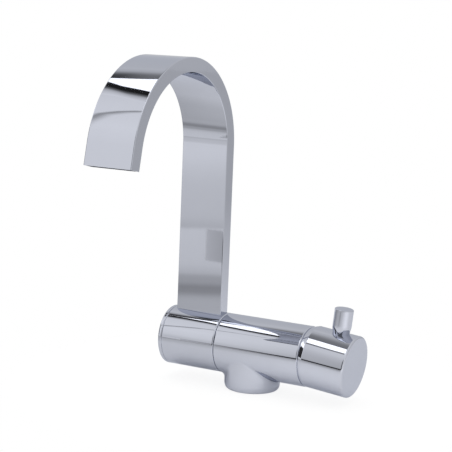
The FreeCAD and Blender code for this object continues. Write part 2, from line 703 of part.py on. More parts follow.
def cartridge():
    """The fixed parts of the ceramic cartridge, with its seals and nut."""
    plate = on_body_axis(turned("plate", [
        ("0", "chamber_floor + fit_clearance"), (HOUSING_RADIUS, "chamber_floor + fit_clearance"),
        (HOUSING_RADIUS, CARTRIDGE_BASE_END), ("0", CARTRIDGE_BASE_END),
    ]))
    disc = on_body_axis(turned("disc", [
        ("0", CARTRIDGE_BASE_END), ("ceramic_radius", CARTRIDGE_BASE_END),
        ("ceramic_radius", FIXED_DISC_END), ("0", FIXED_DISC_END),
    ]))
    seals, plate_tools, disc_tools = [], [], []
    for name, radius, side, height in (
            ("hot", "channel_radius", "port_offset", INLET_HEIGHT),
            ("cold", "channel_radius", "-port_offset", INLET_HEIGHT),
            ("mixed", "mixed_channel_radius", "0", "axis_height + mixed_rise")):
        rim = f"{radius} + port_seal_wall"
        plate_tools.append(rod(name + "_recess", rim, "port_seal_height", ALONG_X, "chamber_floor",
                               side, height))
        for tools, label in ((plate_tools, "_plate_hole"), (disc_tools, "_disc_hole")):
            tools.append(rod(name + label, radius, "chamber_radius", ALONG_X, "chamber_floor", side, height))
        seal = tube(name + "_seal", rim, radius, "0", "port_seal_height")
        seals.append(place(seal, ALONG_X, "chamber_floor", side, height))
    node("cartridge_base", cut("cartridge_plate", plate, *plate_tools))
    node("cartridge_seals", grouped("port_seals", *seals))
    node("fixed_disc", cut("ceramic", disc, *disc_tools))

    shell = turned("shell", [
        (HOUSING_BORE, CARTRIDGE_BASE_END), (HOUSING_RADIUS, CARTRIDGE_BASE_END),
        (HOUSING_RADIUS, "shoulder_station"), (f"{HOUSING_RADIUS} - shoulder_step", "shoulder_station"),
        (f"{HOUSING_RADIUS} - shoulder_step", "housing_end"),
        ("rotor_radius + fit_clearance", "housing_end"),
        ("rotor_radius + fit_clearance", f"{ROTOR_FLANGE_END} + fit_clearance"),
        (HOUSING_BORE, f"{ROTOR_FLANGE_END} + fit_clearance"),
    ])
    node("cartridge_housing", on_body_axis(shell))
    blank = tube("nut_blank", "nut_radius", f"{HOUSING_RADIUS} - shoulder_step + fit_clearance / 2",
                 "shoulder_station", "housing_end")
    nut = on_body_axis(blank)
    notch_floor = "housing_end - nut_notch_depth"
    across = block("notch_across", "nut_notch_depth", "2 * nut_radius + 1", "nut_notch")
    place(across, UPRIGHT, notch_floor, "-nut_radius - 0.5", "axis_height - nut_notch / 2")
    upright = block("notch_upright", "nut_notch_depth", "nut_notch", "2 * nut_radius + 1")
    place(upright, UPRIGHT, notch_floor, "-nut_notch / 2", "axis_height - nut_radius - 0.5")
    node("cartridge_nut", cut("nut", nut, across, upright))


def rotor():
    """The part of the cartridge that turns with the handle, and the pin on which the stem tilts."""
    drum = on_body_axis(turned("drum", [
        ("0", ROTOR_START), (f"{HOUSING_BORE} - fit_clearance", ROTOR_START),
        (f"{HOUSING_BORE} - fit_clearance", ROTOR_FLANGE_END), ("rotor_radius", ROTOR_FLANGE_END),
        ("rotor_radius", "rotor_end"), ("0", "rotor_end"),
    ]))
    slot = block("rotor_slot", "2 * rotor_end", "rotor_slot_width", "rotor_slot_height", "rotor_end",
                 "0", "axis_height - rotor_slot_height / 2")
    length = "(2 * (rotor_radius - pivot_pin_inset))"
    hole = rod("rotor_hole", "pivot_pin_radius", length, ALONG_Y, "pivot_station",
               f"-{length} / 2", "axis_height")
    node("stem_rotor", cut("rotor", drum, slot, hole))
    node("pivot_pin", rod("pivot", "pivot_pin_radius", length, ALONG_Y, "pivot_station",
                          f"-{length} / 2", "axis_height"))


def sliding_disc():
    """The moving ceramic disc and its carrier, which the stem's ball pushes up and down."""
    height = f"(axis_height + {DISC_SHIFT})"
    thickness = f"({CARRIER_START} - {MOVING_DISC_START})"
    disc = rod("slider", "moving_disc_radius", thickness, ALONG_X, MOVING_DISC_START, z=height)
    cavity = rod("cavity", "cavity_radius", thickness, ALONG_X, MOVING_DISC_START,
                 z=f"{height} + cavity_rise")
    node("moving_disc", cut("ceramic_slider", disc, cavity))
    socket = "(stem_ball_radius + running_clearance)"
    floor = f"(pivot_station - stem_ball_station - {socket} - fit_clearance)"
    carrier = turned("carrier", [
        ("0", CARRIER_START), ("moving_disc_radius", CARRIER_START), ("moving_disc_radius", CARRIER_END),
        (socket, CARRIER_END), (socket, floor), ("0", floor),
    ])
    place(carrier, ALONG_X, z=height)
    node("disc_carrier", carrier)


def handle_shell():
    """The handle: a cup whose ball-shaped skirt runs in the body's mouth, with a boss for the stem."""
    skirt = ball("skirt", "ball_radius", "-skirt_depth", RIM_STATION)
    cup = turned("cup", [
        ("0", RIM_STATION), ("handle_radius", RIM_STATION),
        ("handle_radius", "handle_end"), ("0", "handle_end"),
    ])
    round_rims(cup, "handle_edge_round", ("handle_radius", "handle_end"))
    hollow = ball("hollow", SKIRT_BORE, f"-{SKIRT_BORE}", "-bore_start")
    bottom = "handle_end - handle_end_thickness"
    bore = turned("bore", [
        ("0", "-bore_start"), ("handle_bore", "-bore_start"), ("handle_bore", bottom),
        ("boss_radius", bottom), ("boss_radius", "boss_start"), ("0", "boss_start"),
    ])
    side = "(stem_square + 2 * running_clearance)"
    socket = block("boss_socket", side, side, "boss_socket_depth", z="boss_start")
    # the lever pin stands at local -X, which is up, and the grub screw enters at local +X
    pin_hole = rod("pin_thread", "pin_thread_radius + running_clearance / 2", "handle_radius", ALONG_X,
                   "-handle_bore - handle_radius", z="pin_offset")
    access = rod("screw_access", "grub_screw_hole", "handle_radius", ALONG_X, "handle_bore - 1",
                 z="pin_offset")
    screw_hole = rod("screw_thread", "grub_screw_radius + running_clearance / 2", "boss_radius", ALONG_X,
                     "stem_square / 2", z="pin_offset")
    shell = cut("handle_solid", joined("cup_and_skirt", skirt, cup), hollow, bore, socket, pin_hole, access,
                screw_hole)
    node("handle", on_handle_axis(shell))


def valve_stem():
    """The lever inside the cartridge: a ball, a neck, a flat cheek on the pivot and a square end."""
    tip = ball("stem_ball", "stem_ball_radius", "-stem_ball_radius", "stem_ball_radius",
               "-stem_ball_station")
    neck = rod("stem_neck", "stem_radius", "stem_ball_station", z="-stem_ball_station")
    cheek = block("stem_cheek", "stem_square - 1", "stem_flat", "2 * stem_square_start",
                  z="-stem_square_start")
    head = block("stem_head", "stem_square", "stem_square",
                 "boss_start + boss_socket_depth - stem_square_start - stem_head_gap", z="stem_square_start")
    solid = joined("stem_solid", tip, neck, cheek, head)
    hole = rod("stem_hole", "pivot_pin_radius + running_clearance", "2 * stem_square", ALONG_Y,
               y="-stem_square")
    node("valve_stem", on_handle_axis(cut("stem", solid, hole)))


def grub_screw():
    """The screw that clamps the handle on the stem, reached from below."""
    blank = rod("grub_blank", "grub_screw_radius", "grub_screw_length", ALONG_X, "stem_square / 2",
                z="pin_offset")
    key = hexagon("grub_key", "grub_screw_socket / 2", "grub_screw_length / 2")
    place(key, ALONG_X, "stem_square / 2 + grub_screw_length / 2", z="pin_offset")
    node("handle_screw", on_handle_axis(cut("grub", blank, key)))


def lever_pin():
    """The pin on the handle, with a drawn-in foot cut to sit on the round handle and a threaded end."""
    foot = "handle_radius - pin_foot_depth"
    pin = turned("pin_blank", [
        ("0", foot), ("pin_foot_radius", foot), ("pin_radius", "pin_shoulder"), ("pin_radius", "pin_top"),
        ("0", "pin_top"),
    ])
    round_rims(pin, "pin_blend", ("pin_radius", "pin_shoulder"))
    round_rims(pin, "pin_top_round", ("pin_radius", "pin_top"))
    up = FreeCAD.Rotation(Vector(0, 1, 0), -90)
    place(pin, up, z="pin_offset")
    round_handle = rod("round_handle", "handle_radius", "2 * handle_end", z="-handle_end / 2")
    thread = rod("pin_stud", "pin_thread_radius", f"pin_shoulder - {THREAD_END}", up, f"-{THREAD_END}",
                 z="pin_offset")
    node("lever_pin", on_handle_axis(joined("pin", cut("pin_head", pin, round_handle), thread)))


body_casting()
base_gasket()
node("stop_pin", stop_pin_solid("fold_stop"))
spout_hub()
hub_seals()
thrust_washer()
retainers()
spout_collar()
spout_band()
end_cap()
flow_straightener()
cartridge()
rotor()
sliding_disc()
handle_shell()
valve_stem()
grub_screw()
lever_pin()
doc.recompute()

for item in doc.Objects:
    if "Invalid" in item.State or "Error" in item.State:
        raise RuntimeError(f"{item.FullName} failed: {item.State}")
for name, item in NODES.items():
    shape = item.Shape
    if shape.isNull() or not shape.isValid() or not shape.Solids:
        raise RuntimeError(f"{name} has no valid solid")
    print(f"{name}: {len(shape.Solids)} solid(s), {shape.Volume:.1f} mm3")
for name, item in NODES.items():
    item.Shape.exportStep(f"parts/{name}.step")
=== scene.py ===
"""Dressing of a fold-down mixer tap: smooth chrome pieces, finishes for the inner parts, and a studio."""

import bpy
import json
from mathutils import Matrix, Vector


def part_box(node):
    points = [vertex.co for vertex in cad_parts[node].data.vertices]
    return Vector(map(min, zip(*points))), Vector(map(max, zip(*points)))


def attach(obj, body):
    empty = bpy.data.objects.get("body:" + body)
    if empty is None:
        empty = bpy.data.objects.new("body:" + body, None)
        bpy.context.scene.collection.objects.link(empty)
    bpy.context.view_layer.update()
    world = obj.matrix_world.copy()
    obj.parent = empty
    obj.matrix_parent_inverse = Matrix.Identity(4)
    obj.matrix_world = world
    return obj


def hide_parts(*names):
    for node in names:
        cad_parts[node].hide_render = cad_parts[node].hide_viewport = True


bl_info = {
    "name": "Fold-down mixer tap",
    "version": (1, 0, 0),
    "blender": (4, 5, 0),
    "location": "3D View > Sidebar > Tap",
    "description": "Models the chrome pieces of a folding mixer tap over its packed frame and lights them",
    "category": "Object",
}

import json
import math

import bmesh
import bpy
from mathutils import Matrix, Vector

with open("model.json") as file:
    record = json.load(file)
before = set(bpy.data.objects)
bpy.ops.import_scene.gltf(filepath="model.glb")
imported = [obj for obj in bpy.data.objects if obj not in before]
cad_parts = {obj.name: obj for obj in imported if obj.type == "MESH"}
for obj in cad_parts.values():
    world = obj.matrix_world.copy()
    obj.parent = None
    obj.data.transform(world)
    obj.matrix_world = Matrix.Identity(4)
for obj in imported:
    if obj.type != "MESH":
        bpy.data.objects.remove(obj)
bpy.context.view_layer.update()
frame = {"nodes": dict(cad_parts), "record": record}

MM = 0.001
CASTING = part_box("body_casting")
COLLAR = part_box("spout_collar")
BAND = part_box("spout_band")
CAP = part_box("end_cap")
AXIS_HEIGHT = (COLLAR[0].z + COLLAR[1].z) / 2 / MM
AXIS_POINT = Vector((0, 0, AXIS_HEIGHT * MM))

# How finely shapes are drawn: steps all round a piece and a hole, degrees between an arc's points, steps
# along a ball's outline, and how far in millimetres a support point lies beside an arc. Points closer than
# the weld, in metres, are one, and an edge steeper than the sharp angle stays sharp.
SPIN_STEPS = 256
DRILL_STEPS = 64
ARC_STEP = 10
BALL_STEPS = 10
SUPPORT = 0.12
WELD = 1e-7
SHARP_ANGLE = math.radians(30)

# Sizes of the tap, in millimetres. A station is a distance along the body axis, and the handle's stations
# start at its pivot. A bore or a boss is (station of its end, radius).
# Body: the hub's bore is (depth, radius). The mouth's edge is an arc that ends where it meets the ball seat,
# and the seat starts a little inside the barrel's end.
HUB_BORE = (12.0, 10.0)
CHAMBER = ((29.4, 14.25), (14.0, 13.3))
MOUTH_FLOOR = 36.7
MOUTH_EDGE_TURN = math.radians(78)
MOUTH_EDGE_STEPS = 6
BALL_SEAT_RADIUS = 21.3
BALL_SEAT_INSET = 0.13

# Base: the gasket's groove is (depth, inner radius, outer radius), and the lower edge's rounding is (width,
# height). Inside the barrel the stub closes at (share of its width, height). A port is (radius, X, Y, depth).
GASKET_GROOVE = (2.0, 14.4, 16.4)
BASE_EDGE = (2.1, 4.4)
BASE_EDGE_STEPS = 12
BLEND_STEPS = 10
BASE_CLOSE = (0.7, 19.0)
BASE_PORTS = ((3.5, 0.0, 6.0, 10.0), (3.5, 0.0, -6.0, 10.0), (3.4, -10.0, 0.0, 11.0))
PORT_OVERSHOOT = 1.0

# Collar and end cap: the cap's spigot is (length, outer radius, inner radius).
HUB_END = -54.15
COLLAR_BORE = 14.0
CAP_BORE = 15.5
CAP_THICKNESS = 3.0
CAP_SPIGOT = (3.2, 15.4, 12.9)
CAP_EDGE = 1.2
CAP_SEAM_EDGE = 0.5

# Spout band: the riser's height is taken from the body axis, and the bends' steps are (first, second). The
# lower end is opened: its faces and points are joined up to the merge distance and the flat angle.
RISER_HEIGHT = 132.248
BEND_RADIUS = 54.6
OUTLET_BEND_RADIUS = 60.087
BEND_STEPS = (150, 130)
OUTLET_SLANT = math.radians(12)
OUTLET_LEG = 14.245
OUTLET_DEPTH = 11.0
OUTLET_RIM = 0.2
OUTLET_RIM_STEPS = 3
BAND_EDGE_STEPS = 6
BAND_SUPPORT = 0.15
MERGE_DISTANCE = 0.02
END_TOLERANCE = 0.01
FLAT_ANGLE = math.radians(1)

# Handle: the stem's socket is (depth, width, middle's station), and a grub screw's hole is (radius, height
# where it starts, depth). The wall has one more support point in from its rim. Closed, the handle hangs by
# its tilt.
PIVOT_STATION = 49.8
HANDLE_TILT = math.radians(5.3)
HANDLE_END = 23.9
HANDLE_BORE = (20.4, 16.5)
HANDLE_BOSS = (6.6, 6.5)
BORE_MOUTH = -3.0
RIM_SUPPORT = 1.0
BALL_RADIUS = 21.0
BALL_WALL = 1.5
SKIRT_DEPTH = 10.6
STEM_SOCKET = (8.0, 7.1, 10.15)
GRUB_ACCESS = (2.6, -15.5, -8.0)
GRUB_THREAD = (2.0, -3.5, -6.0)

# Lever pin: its heights are taken from the handle's crest, and its foot widens in one long curve.
PIN_OFFSET = 11.1
PIN_SUNK = 1.0
PIN_WAIST_TOP = 3.6
PIN_WAIST_ROUND = 15.0
PIN_HEIGHT = 15.7
PIN_EDGE = 0.5
PIN_STEPS = 128


class ShapeSettings(bpy.types.PropertyGroup):
    """Sizes of the tap's chrome pieces."""

    barrel_radius: bpy.props.FloatProperty(
        name="Barrel radius", description="Radius of the body, the collar and the end cap",
        default=(COLLAR[1].z - COLLAR[0].z) / 2, unit="LENGTH")
    edge_round: bpy.props.FloatProperty(
        name="Edge rounding", description="Rounding of the barrel's and the collar's edges at their seam",
        default=0.9 * MM, unit="LENGTH")
    base_radius: bpy.props.FloatProperty(
        name="Base radius", description="Radius of the round stub under the body",
        default=18.7 * MM, unit="LENGTH")
    base_blend: bpy.props.FloatProperty(
        name="Base blend", description="Radius of the blend between the stub and the barrel",
        default=3.5 * MM, unit="LENGTH")
    band_thickness: bpy.props.FloatProperty(
        name="Band thickness", description="Thickness of the flat spout", default=9.5 * MM, unit="LENGTH")
    band_edge: bpy.props.FloatProperty(
        name="Band edge rounding", description="Rounding of the spout's long edges",
        default=0.5 * MM, unit="LENGTH")
    band_wall: bpy.props.FloatProperty(
        name="Band wall", description="Wall of the hollow spout, seen at the outlet",
        default=1.4 * MM, unit="LENGTH")
    handle_radius: bpy.props.FloatProperty(
        name="Handle radius", description="Radius of the round handle", default=20.33 * MM, unit="LENGTH")
    handle_edge: bpy.props.FloatProperty(
        name="Handle edge rounding", description="Rounding of the handle's outer edge",
        default=1.4 * MM, unit="LENGTH")
    pin_radius: bpy.props.FloatProperty(
        name="Pin radius", description="Radius of the lever pin on the handle",
        default=6.2 * MM, unit="LENGTH")
    pin_foot: bpy.props.FloatProperty(
        name="Pin foot", description="Radius of the lever pin's drawn-in foot",
        default=5.2 * MM, unit="LENGTH")


class FinishSettings(bpy.types.PropertyGroup):
    """Colours and gloss of the tap's finishes."""

    chrome_colour: bpy.props.FloatVectorProperty(
        name="Chrome", description="Colour of the polished plating", subtype="COLOR", size=3,
        default=(0.522, 0.54, 0.607), min=0, max=1)
    chrome_roughness: bpy.props.FloatProperty(
        name="Chrome roughness", description="Roughness of the polished plating", subtype="FACTOR",
        default=0.034, min=0, max=1)
    brass_colour: bpy.props.FloatVectorProperty(
        name="Brass", description="Colour of the plain brass inside", subtype="COLOR", size=3,
        default=(0.72, 0.53, 0.26), min=0, max=1)
    rubber_colour: bpy.props.FloatVectorProperty(
        name="Rubber", description="Colour of the seals", subtype="COLOR", size=3,
        default=(0.018, 0.018, 0.02), min=0, max=1)
    plastic_colour: bpy.props.FloatVectorProperty(
        name="Outlet plastic", description="Colour of the insert in the outlet", subtype="COLOR", size=3,
        default=(0.3, 0.31, 0.33), min=0, max=1)


class StudioSettings(bpy.types.PropertyGroup):
    """The studio's lights."""

    softbox_strength: bpy.props.FloatProperty(
        name="Softbox", description="Brightness of the softbox that the chrome reflects",
        default=2.2, min=0, soft_max=4)
    key_energy: bpy.props.FloatProperty(
        name="Key lamp", description="Power of the soft lamp above the tap", default=1.5, min=0)
    floor_glow: bpy.props.FloatProperty(
        name="Floor glow", description="Share of the floor's white that no shadow falls on",
        default=0.87, subtype="FACTOR", min=0, max=1)


# The studio, in metres. Its tones are brightnesses as the chrome reflects them, where 1 is white.
KEY_PLACE = (-0.2, -0.1, 0.9)
KEY_SIZE = 0.8

# The tent's tones from straight down to straight up: in front on the left, in front on the right, on the
# camera's side, where it is dark over the horizon, and behind. Far to the right it is white. From one to the
# next it changes over a range of a direction's X or Y.
TENT_FRONT_LEFT = ((0.0, 0.75), (0.5, 0.84), (0.54, 0.9), (0.6, 1.04), (0.67, 1.08), (0.75, 1.12), (1.0, 1.0))
TENT_FRONT_RIGHT = (
    (0.0, 0.6), (0.5, 0.6), (0.56, 0.65), (0.61, 0.68), (0.67, 0.74), (0.75, 0.84), (0.82, 0.96), (1.0, 1.0))
TENT_CAMERA_SIDE = ((0.0, 0.6), (0.49, 0.6), (0.5, 0.2), (0.7, 0.24), (0.78, 0.9), (1.0, 1.0))
TENT_BACK = ((0.0, 0.6), (0.5, 0.7), (0.6, 0.8), (0.72, 0.8), (0.85, 0.79), (0.93, 0.86), (1.0, 0.9))
LEFT_TO_RIGHT = (-0.5, -0.33)
RIGHT_TO_CAMERA_SIDE = (-0.3, -0.24)
CAMERA_SIDE_TO_WHITE = (0.5, 0.62)
BACK_TO_FRONT = (0.4, -0.4)

# The floor: its tones in reflections, painted light and shade by the distance from the tap towards the front
# left, and its paper's.
FLOOR_SIZE = 8
FLOOR_SPAN = 1.4
FLOOR_TOWARDS = (-0.48, -0.87, 0.0)
FLOOR_REFLECTED_SHADING = (
    (-1.4, 0.71), (-0.895, 0.68), (-0.573, 0.78), (-0.346, 0.87), (-0.2, 0.96), (0.1, 0.96), (0.15, 0.8),
    (0.2, 0.74), (0.25, 0.66), (0.28, 0.66), (0.295, 0.6), (0.315, 0.42), (0.34, 0.385), (0.36, 0.53),
    (0.39, 0.56), (0.405, 0.73), (0.45, 0.85), (0.5, 0.88), (0.66, 0.93), (0.68, 0.72), (0.7, 0.76),
    (0.75, 0.84), (0.82, 0.87), (1.0, 0.91), (1.4, 0.95))
FLOOR_PLAIN = (0.15, 0.17)
# Places on the floor in reflections, with their centre and radius: pools are painted shade, darker by a share
# of the tone, and glints are painted light, brighter by their own glow.
FLOOR_SHADE_POOLS = (((-0.29, -0.04, 0.0), 0.23, 0.42), ((-0.015, -0.245, 0.0), 0.07, 0.3))
FLOOR_GLINTS = (
    ((0.205, -0.095, 0.0), 0.14, 0.34), ((0.035, -0.03, 0.0), 0.12, 0.19), ((-0.8, -1.33, 0.0), 0.6, 0.17))
# The floor is solid near the tap and opens further out, where the folded spout dips below the worktop. These
# are distances from the base.
BASIN_EDGE = (0.125, 0.17)

# The ceiling card. Each row runs across it from front to back: its station, the softbox's two edges, the
# tones of the dark frame in front and behind, and how wide the back fades.
CARD_HEIGHT = 0.7
CARD_ROWS = (
    (-0.5, -0.04, -0.036, 0.5, 0.5, 1.0), (-0.445, -0.037, -0.033, 0.02, 0.02, 1.0),
    (-0.42, -0.037, -0.033, 0.02, 0.03, 1.0), (-0.405, -0.052, -0.022, 0.02, 0.05, 1.0),
    (-0.39, -0.062, -0.014, 0.02, 0.05, 1.0), (-0.38, -0.085, -0.008, 0.02, 0.08, 1.0),
    (-0.37, -0.113, -0.004, 0.02, 0.15, 1.0), (-0.35, -0.14, 0.006, 0.02, 0.23, 1.0),
    (-0.335, -0.165, 0.02, 0.02, 0.24, 1.0), (-0.305, -0.19, 0.02, 0.02, 0.24, 1.25),
    (-0.28, -0.235, -0.01, 0.1, 0.22, 1.6), (-0.175, -0.415, -0.125, 0.3, 0.27, 2.4),
    (-0.155, -0.43, -0.142, 0.4, 0.27, 2.6), (-0.12, -0.5, -0.195, 0.9, 0.27, 2.6),
    (0.0, -0.56, -0.25, 1.0, 0.3, 2.6), (0.1, -0.6, -0.596, 1.0, 0.8, 2.6))
# How the card fades outwards from the frame's start: (distance, share of the way from the frame's tone to the
# tent's). The softbox's edge is sharp: its light ends just inside, and the frame starts just outside.
CARD_FADE_FRONT = ((0.188, 1.0), (0.138, 0.78), (0.111, 0.58), (0.086, 0.17), (0.058, 0.0), (0.0, 0.0))
CARD_FADE_BACK = ((0.0, 0.0), (0.043, 0.05), (0.068, 0.12), (0.088, 0.28), (0.108, 0.48), (0.128, 0.7),
                  (0.148, 0.88), (0.198, 1.0))
CARD_LIGHT_INSET = 0.001
CARD_FRAME_START = 0.002
CARD_FRONT_TONE = 1.1
CARD_BACK_TONE = 0.78

# The tent's seam: (x, y) points of its line under the ceiling, and its tones across, from the softbox's side.
TENT_SEAM = (
    (-0.31, -0.4), (-0.345, -0.415), (-0.404, -0.434), (-0.44, -0.466), (-0.491, -0.529), (-0.545, -0.62),
    (-0.595, -0.7), (-0.7, -0.87), (-0.85, -1.1))
SEAM_HEIGHT = 0.69
SEAM_SIDE = (0.73, -0.68)
SEAM_TONES = ((-0.007, 1.1), (0.0, 0.4), (0.004, 0.5), (0.012, 0.85), (0.02, 1.1))

# Upright sheets in the tent's wall: name, lower and upper edge, and (x, y, tone) points along it. The gap is
# a dark strip over the floor, the opening is dark, and the window over it is bright.
TENT_SHEETS = (
    ("tent_gap", (0.0, 0.031), ((-0.26, -0.4, 0.7), (-0.15, -0.4, 0.06), (0.3, -0.4, 0.06))),
    ("tent_opening", (0.05, 0.63), ((-0.82, -0.85, 0.04), (-0.92, -0.64, 0.04), (-1.12, -0.28, 0.04))),
    ("tent_window", (0.66, 0.92), ((-0.95, -0.6, 2.0), (-1.12, -0.28, 2.0), (-1.15, -0.05, 2.0))))
# The brightest tone that a sheet can have.
GLOW_LIMIT = 4.0

# The camera: azimuth, elevation and roll in degrees, the point it looks at and its distance in millimetres.
CAMERA_ANGLES = (28.6294, 8.8009, 2.3373)
CAMERA_TARGET = (-24.706, -0.125, 106.667)
CAMERA_DISTANCE = 934.46
CAMERA_LENS = 111.7
CAMERA_SENSOR = 36
CAMERA_CLIP = (0.05, 50)

# Colours that no setting changes.
WHITE = (1, 1, 1)
BLACK = (0, 0, 0)
CHROME_EDGE = (0.75, 0.77, 0.82, 1)
STEEL_COLOURS = ((0.42, 0.43, 0.45), (0.6, 0.61, 0.63))
CERAMIC_COLOURS = ((0.8, 0.78, 0.73), (0.88, 0.87, 0.84))
CARTRIDGE_COLOUR = (0.62, 0.61, 0.57)


# Modelling helpers. They take lengths in millimetres, and a station is a distance along the turning axis.

def pick_none():
    """Leave nothing selected."""
    if bpy.context.object and bpy.context.object.mode != "OBJECT":
        bpy.ops.object.mode_set(mode="OBJECT")
    bpy.ops.object.select_all(action="DESELECT")


def pick(*objs):
    """Select these objects; the first is active."""
    pick_none()
    for obj in objs:
        obj.select_set(True)
    bpy.context.view_layer.objects.active = objs[0]


def corner_rounded(points):
    """Turn (station, radius, rounding) corners into a dense outline with a support point beside each arc."""
    outline = []
    for i, (station, radius, rounding) in enumerate(points):
        here = Vector((station, radius))
        if not rounding:
            outline.append(here)
            continue
        before = (Vector(points[i - 1][:2]) - here).normalized()
        after = (Vector(points[i + 1][:2]) - here).normalized()
        half = before.angle(after) / 2
        reach = rounding / math.tan(half)
        centre = here + (before + after).normalized() * (rounding / math.sin(half))
        start = here + before * reach - centre
        end = here + after * reach - centre
        steps = max(4, round(math.degrees(start.angle(end)) / ARC_STEP))
        outline.append(here + before * (reach + SUPPORT))
        for k in range(steps + 1):
            outline.append(centre + start.slerp(end, k / steps) * rounding)
        outline.append(here + after * (reach + SUPPORT))
    return [(point.x, point.y) for point in outline]


def sphere_run(centre, radius, first, last):
    """Points of a sphere's outline between two stations."""
    run = []
    for k in range(BALL_STEPS + 1):
        station = first + (last - first) * k / BALL_STEPS
        run.append((station, math.sqrt(max(radius ** 2 - (station - centre) ** 2, 0))))
    return run


def lathe(name, outline, axis="X", steps=SPIN_STEPS):
    """Draw an outline of (station, radius) points and spin it into a closed solid about an axis."""
    pick_none()
    bpy.ops.mesh.primitive_plane_add(size=MM, location=(0, 0, 0))
    obj = bpy.context.object
    obj.name = obj.data.name = name
    along = Vector((1, 0, 0)) if axis == "X" else Vector((0, 0, 1))
    out = Vector((0, 0, 1)) if axis == "X" else Vector((1, 0, 0))
    places = [(along * station + out * radius) * MM for station, radius in outline]
    bpy.ops.object.mode_set(mode="EDIT")
    bpy.ops.mesh.select_mode(type="VERT")
    bpy.ops.mesh.merge(type="CENTER")
    bpy.ops.transform.translate(value=places[0])
    for earlier, later in zip(places, places[1:]):
        bpy.ops.mesh.extrude_vertices_move(TRANSFORM_OT_translate={"value": later - earlier})
    bpy.ops.mesh.select_all(action="SELECT")
    bpy.ops.mesh.spin(steps=steps, angle=2 * math.pi, center=(0, 0, 0), axis=along)
    bpy.ops.mesh.select_all(action="SELECT")
    bpy.ops.mesh.remove_doubles(threshold=WELD)
    bpy.ops.mesh.normals_make_consistent(inside=False)
    bpy.ops.object.mode_set(mode="OBJECT")
    return obj


def settle(obj):
    """Smooth the faces, keep sharp edges, and put the object's place into its mesh."""
    pick(obj)
    bpy.ops.object.transform_apply(location=True, rotation=True, scale=True)
    bpy.ops.object.shade_smooth_by_angle(angle=SHARP_ANGLE)
    return obj


def raise_to_axis(obj):
    """Move a piece made on the X axis up to the body axis."""
    pick(obj)
    bpy.ops.transform.translate(value=AXIS_POINT)
    return settle(obj)


def carve(obj, *cutters):
    """Cut solids out of a piece and delete them."""
    for cutter in cutters:
        pick(obj)
        modifier = obj.modifiers.new("Cut", "BOOLEAN")
        modifier.operation = "DIFFERENCE"
        modifier.solver = "EXACT"
        modifier.object = cutter
        bpy.ops.object.modifier_apply(modifier=modifier.name)
        bpy.data.objects.remove(cutter)


def drill(radius, start, depth):
    """A cutter for an upright round hole from a point. A negative depth goes down."""
    pick_none()
    middle = (Vector(start) + Vector((0, 0, depth / 2))) * MM
    bpy.ops.mesh.primitive_cylinder_add(
        vertices=DRILL_STEPS, radius=radius * MM, depth=abs(depth) * MM, location=middle)
    return bpy.context.object


def set_selected(obj, rule):
    """Move each selected vertex of an object in edit mode to the place that a rule gives for it."""
    mesh = bmesh.from_edit_mesh(obj.data)
    for vertex in mesh.verts:
        if vertex.select:
            vertex.co = rule(vertex.co)
    bmesh.update_edit_mesh(obj.data)


def select_faces(obj, rule):
    """In edit mode, select the faces that pass a rule on their centre."""
    bpy.ops.mesh.select_mode(type="FACE")
    bpy.ops.mesh.select_all(action="DESELECT")
    mesh = bmesh.from_edit_mesh(obj.data)
    for face in mesh.faces:
        face.select_set(rule(face.calc_center_median()))
    mesh.select_flush_mode()
    bmesh.update_edit_mesh(obj.data)


# Materials

class Socket:
    """A shader socket whose arithmetic adds Math nodes."""

    def __init__(self, tree, link):
        self.tree, self.link = tree, link

    def _math(self, operation, first, second):
        node = self.tree.nodes.new("ShaderNodeMath")
        node.operation = operation
        for slot, value in zip(node.inputs, (first, second)):
            if isinstance(value, Socket):
                self.tree.links.new(value.link, slot)
            else:
                slot.default_value = value
        return Socket(self.tree, node.outputs[0])

    def __add__(self, other):
        return self._math("ADD", self, other)

    def __sub__(self, other):
        return self._math("SUBTRACT", self, other)

    def __mul__(self, other):
        return self._math("MULTIPLY", self, other)

    def __rsub__(self, other):
        return self._math("SUBTRACT", other, self)

    __radd__ = __add__
    __rmul__ = __mul__


class NodeWork:
    """Nodes of a material or of the world, laid one by one."""

    def __init__(self, tree):
        self.tree = tree

    def node(self, kind, settings, inputs, output=0):
        """Add a node with its settings and its sockets' values or links, and return one output."""
        made = self.tree.nodes.new(kind)
        for key, value in settings.items():
            if key == "stops":
                ramp = made.color_ramp
                while len(ramp.elements) < len(value):
                    ramp.elements.new(0.5)
                for stop, (position, colour) in zip(ramp.elements, value):
                    stop.position, stop.color = position, (*colour, 1)
            else:
                setattr(made, key, value)
        for key, value in inputs.items():
            if isinstance(value, Socket):
                self.tree.links.new(value.link, made.inputs[key])
            else:
                made.inputs[key].default_value = value
        return Socket(self.tree, made.outputs[output])

    def tint(self, amount, dark, light):
        """A colour between two, by an amount. Each colour is a value or a socket."""
        ends = [colour if isinstance(colour, Socket) else (*colour, 1) for colour in (dark, light)]
        return self.node("ShaderNodeMix", {"data_type": "RGBA"}, {
            "Factor": amount, 6: ends[0], 7: ends[1]}, 2)

    def ramp(self, amount, tones):
        """A grey that follows an amount, from (position, tone) stops."""
        stops = [(position, grey(tone)) for position, tone in tones]
        return self.node("ShaderNodeValToRGB", {"stops": stops}, {"Fac": amount}, "Color")

    def remap(self, amount, low, high):
        """An amount that goes softly from 0 to 1 between two limits."""
        return self.node("ShaderNodeMapRange", {"interpolation_type": "SMOOTHSTEP"}, {
            "Value": amount, "From Min": low, "From Max": high}, "Result")


